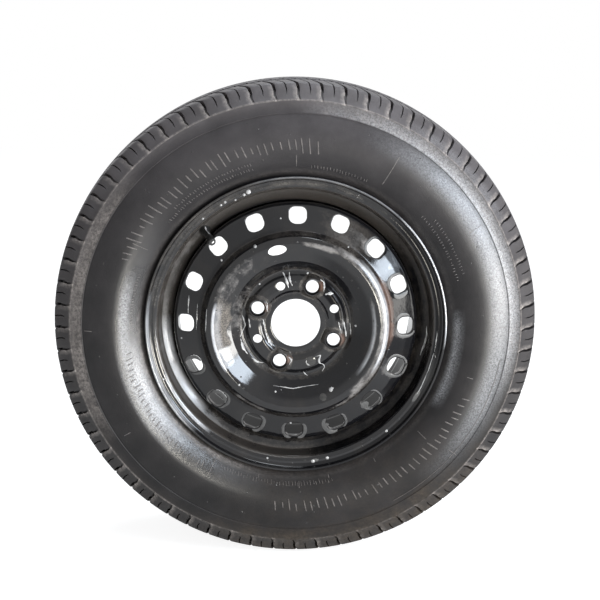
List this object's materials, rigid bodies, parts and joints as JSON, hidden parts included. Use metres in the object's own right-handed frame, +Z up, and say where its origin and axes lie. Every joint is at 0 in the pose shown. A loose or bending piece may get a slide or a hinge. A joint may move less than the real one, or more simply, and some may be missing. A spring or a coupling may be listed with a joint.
{
  "type": "car wheel",
  "caption": "Pressed steel car wheel with a vented disc, rolled well-base rim and tubeless radial tyre with its snap-in valve, mounted ready to bolt to a hub.",
  "frame": {"origin": "wheel centre: on the axle line, midway between the two rim flanges", "axes": "axle line along Y, the outboard face (vents, nut seats, valve) looks towards -Y and the hub comes in from +Y; +Z up, with the valve at 135 degrees from +X towards +Z"},
  "size_m": [0.5751, 0.177, 0.5752],
  "materials": {
    "tyre": "charcoal tread rubber, brown dust at the foot, scuffed band and damp sheen on the sidewall",
    "wheel_paint": "gloss black stoving paint, wet, with rust at the stud holes and on the crown",
    "valve_rubber": "satin black rubber",
    "brass": "dull machined brass",
    "core_seal": "matt red sealing ring",
    "spring_steel": "bright spring wire",
    "cap_plastic": "matt black plastic"
  },
  "bodies": {
    "wheel": {"tyre": "tyre", "rim": "wheel_paint", "wheel_disc": "wheel_paint", "weld_beads": "wheel_paint", "valve_rubber": "valve_rubber", "valve_stem": "brass", "core_housing": "brass", "core_gasket": "core_seal", "core_spring": "spring_steel"},
    "valve_pin": {"core_pin": "brass", "core_cup_seal": "valve_rubber"},
    "cap": {"valve_cap": "cap_plastic", "cap_seal": "valve_rubber"}
  },
  "joints": [
    {"name": "pin_press", "type": "slide", "parent": "wheel", "child": "valve_pin", "axis": [-0.3395, 0.8772, 0.3395], "range_m": [0, 0.0012], "stiffness_N_per_m": 400, "deforming": ["core_spring"]},
    {"name": "cap_off", "type": "slide", "parent": "wheel", "child": "cap", "axis": [0.3395, -0.8772, -0.3395], "range_m": [0, 0.012]}
  ]
}
